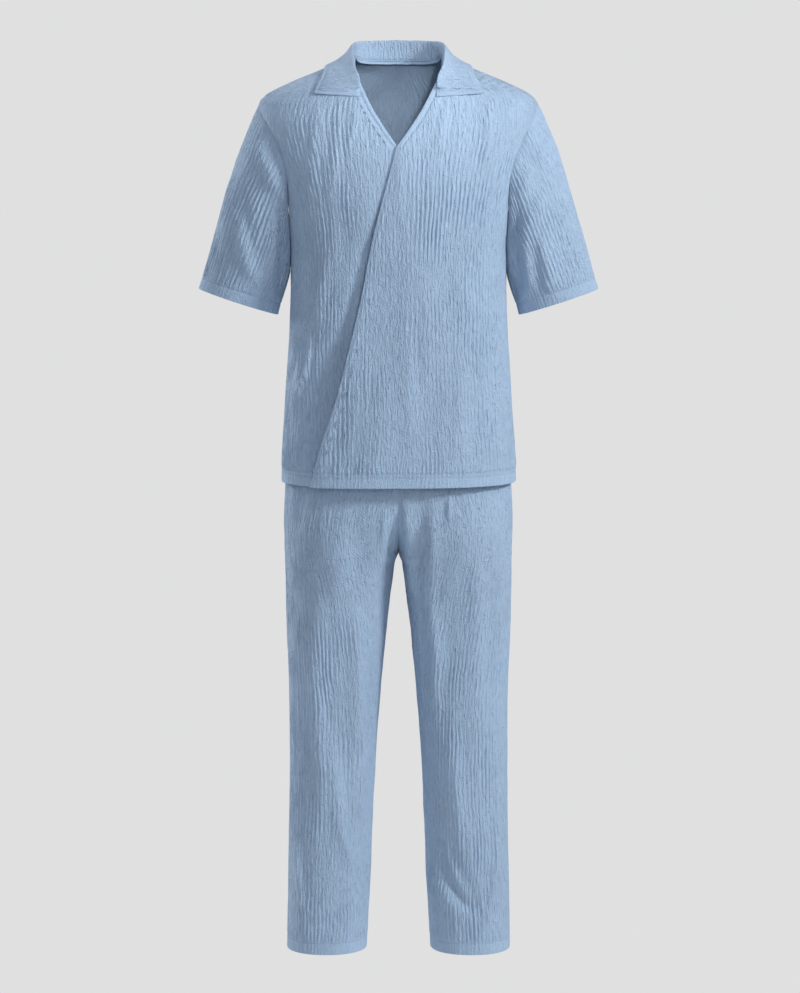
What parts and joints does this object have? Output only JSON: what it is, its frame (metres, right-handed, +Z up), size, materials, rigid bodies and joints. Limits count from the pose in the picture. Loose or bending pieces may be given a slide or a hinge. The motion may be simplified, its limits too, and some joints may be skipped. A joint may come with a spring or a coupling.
{
  "type": "lounge set",
  "caption": "Crinkled lounge set, worn and hollow: short-sleeved pullover with open collar and slanting wrapped front over straight elastic-waist trousers.",
  "frame": {"origin": "midway between the two points where the neckline meets the shoulder seams, where the wearer's neck holds the pullover up", "axes": "+Z up the wearer's body, -Y out of the front, +X to the wearer's left"},
  "size_m": [0.666, 0.2691, 1.5277],
  "materials": {
    "crinkle_cloth": "matt crinkled weave",
    "waist_casing": "matt crinkled weave over elastic"
  },
  "bodies": {
    "root": {"front_left": "crinkle_cloth", "front_right": "crinkle_cloth", "back": "crinkle_cloth", "sleeve_left": "crinkle_cloth", "sleeve_right": "crinkle_cloth", "collar": "crinkle_cloth", "trouser_front_left": "crinkle_cloth", "trouser_front_right": "crinkle_cloth", "trouser_back_left": "crinkle_cloth", "trouser_back_right": "crinkle_cloth", "waistband": "waist_casing"}
  },
  "joints": []
}
